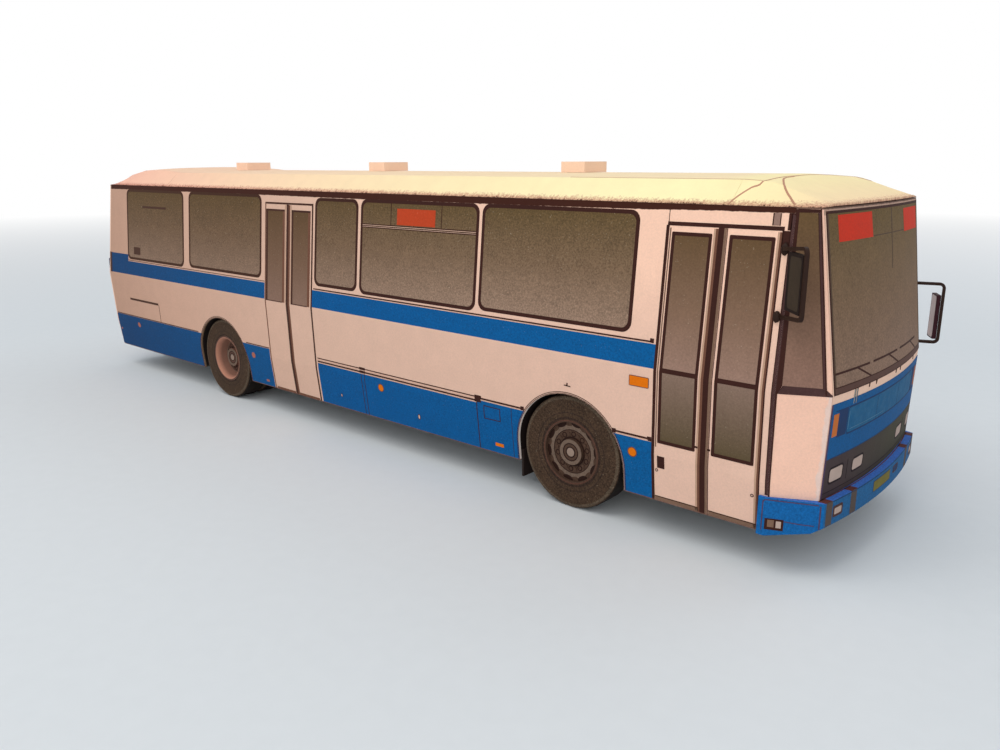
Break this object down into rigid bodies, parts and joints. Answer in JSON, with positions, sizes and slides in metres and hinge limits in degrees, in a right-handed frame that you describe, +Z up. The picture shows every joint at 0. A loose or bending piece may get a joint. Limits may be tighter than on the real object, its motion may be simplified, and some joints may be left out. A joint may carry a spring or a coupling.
{
  "type": "card model city bus",
  "caption": "Small scale model of a two-door city bus, glued from printed card sheets, with printed windows and doors, rolling on two wheel sets.",
  "frame": {"origin": "on the surface the wheels stand on, under the middle of the model's box", "axes": "+X forward, +Y to the bus's left side, +Z up"},
  "size_m": [0.1274, 0.0345, 0.0351],
  "materials": {
    "body_card": "matt printed card, white with blue bands",
    "roof_card": "matt printed card, cream white",
    "bumper_card": "matt printed card, blue",
    "floor_card": "matt grey card",
    "dark_card": "matt dark card",
    "tyre_card": "matt dark grey printed card",
    "rim_card": "matt grey printed card",
    "wire": "dark painted wire"
  },
  "bodies": {
    "root": {"side_wall_right": "body_card", "side_wall_left": "body_card", "front_corner_right": "body_card", "front_corner_left": "body_card", "front_wall": "body_card", "rear_wall": "body_card", "roof_main": "roof_card", "roof_front_cap": "roof_card", "roof_rear_cap": "roof_card", "roof_vent_front": "roof_card", "roof_vent_middle": "roof_card", "roof_vent_rear": "roof_card", "floor_plate": "floor_card", "front_apron": "floor_card", "front_bumper": "bumper_card", "rear_bumper": "bumper_card", "mud_flap_right": "dark_card", "mud_flap_left": "dark_card", "wheel_box_front_right": "dark_card", "wheel_box_front_left": "dark_card", "wheel_box_rear_right": "dark_card", "wheel_box_rear_left": "dark_card", "mirror_plate_right": "dark_card", "mirror_plate_left": "dark_card", "mirror_bracket_right": "wire", "mirror_bracket_left": "wire"},
    "front_wheels": {"axle_front": "wire", "tyre_front_right": "tyre_card", "tyre_front_left": "tyre_card", "rim_front_right": "rim_card", "rim_front_left": "rim_card"},
    "rear_wheels": {"axle_rear": "wire", "tyre_rear_outer_right": "tyre_card", "tyre_rear_outer_left": "tyre_card", "tyre_rear_inner_right": "tyre_card", "tyre_rear_inner_left": "tyre_card", "rim_rear_outer_right": "rim_card", "rim_rear_outer_left": "rim_card", "rim_rear_inner_right": "rim_card", "rim_rear_inner_left": "rim_card"}
  },
  "joints": [
    {"name": "front_axle_roll", "type": "hinge", "parent": "root", "child": "front_wheels", "pos_m": [0.03688, 0, 0.00605], "axis": [0, 1, 0], "continuous": true},
    {"name": "rear_axle_roll", "type": "hinge", "parent": "root", "child": "rear_wheels", "pos_m": [-0.02828, 0, 0.00605], "axis": [0, 1, 0], "continuous": true}
  ]
}
